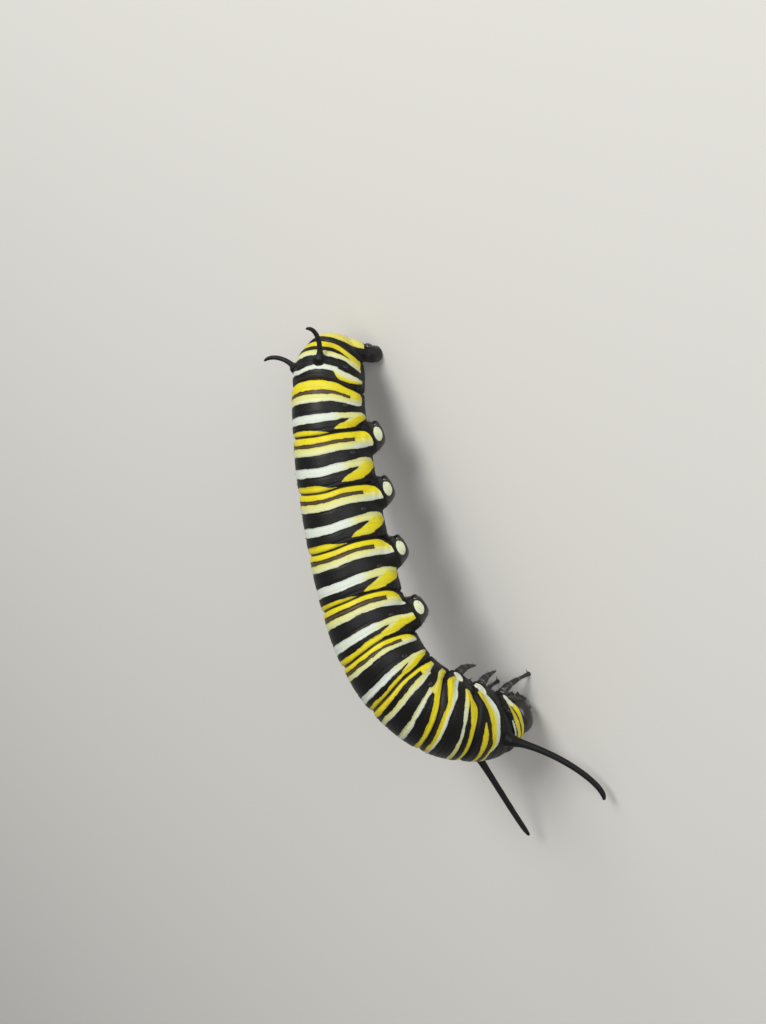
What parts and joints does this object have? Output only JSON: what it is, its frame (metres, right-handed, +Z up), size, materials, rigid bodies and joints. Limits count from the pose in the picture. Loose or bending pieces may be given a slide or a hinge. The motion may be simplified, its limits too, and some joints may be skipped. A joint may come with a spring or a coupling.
{
  "type": "monarch butterfly larva model",
  "caption": "Life-size still model of a banded monarch larva, arched on its front legs and hindmost prolegs, with fleshy tentacles at both ends.",
  "frame": {"origin": "middle of the bounding box at floor level, under the arched body", "axes": "-Y towards the head and the long tentacles, +Y towards the tail, +X the larva's left side, +Z up from the floor its feet stand on"},
  "size_m": [0.0116, 0.0482, 0.0141],
  "materials": {
    "banded_skin": "satin",
    "dark_limb": "matte",
    "head_shell": "gloss"
  },
  "bodies": {
    "root": {"abdomen_9_10": "banded_skin", "abdomen_8": "banded_skin", "abdomen_7": "banded_skin", "abdomen_6": "banded_skin", "abdomen_5": "banded_skin", "abdomen_4": "banded_skin", "abdomen_3": "banded_skin", "abdomen_2": "banded_skin", "abdomen_1": "banded_skin", "thorax_3": "banded_skin", "thorax_2": "banded_skin", "thorax_1": "banded_skin", "head": "head_shell", "leg_t1_l": "head_shell", "leg_t1_r": "head_shell", "leg_t2_l": "head_shell", "leg_t2_r": "head_shell", "leg_t3_l": "head_shell", "leg_t3_r": "head_shell", "proleg_a3_l": "dark_limb", "proleg_a3_r": "dark_limb", "proleg_a4_l": "dark_limb", "proleg_a4_r": "dark_limb", "proleg_a5_l": "dark_limb", "proleg_a5_r": "dark_limb", "proleg_a6_l": "dark_limb", "proleg_a6_r": "dark_limb", "anal_proleg_l": "dark_limb", "anal_proleg_r": "dark_limb", "front_tentacle_l": "dark_limb", "front_tentacle_r": "dark_limb", "rear_tentacle_l": "dark_limb", "rear_tentacle_r": "dark_limb"}
  },
  "joints": []
}
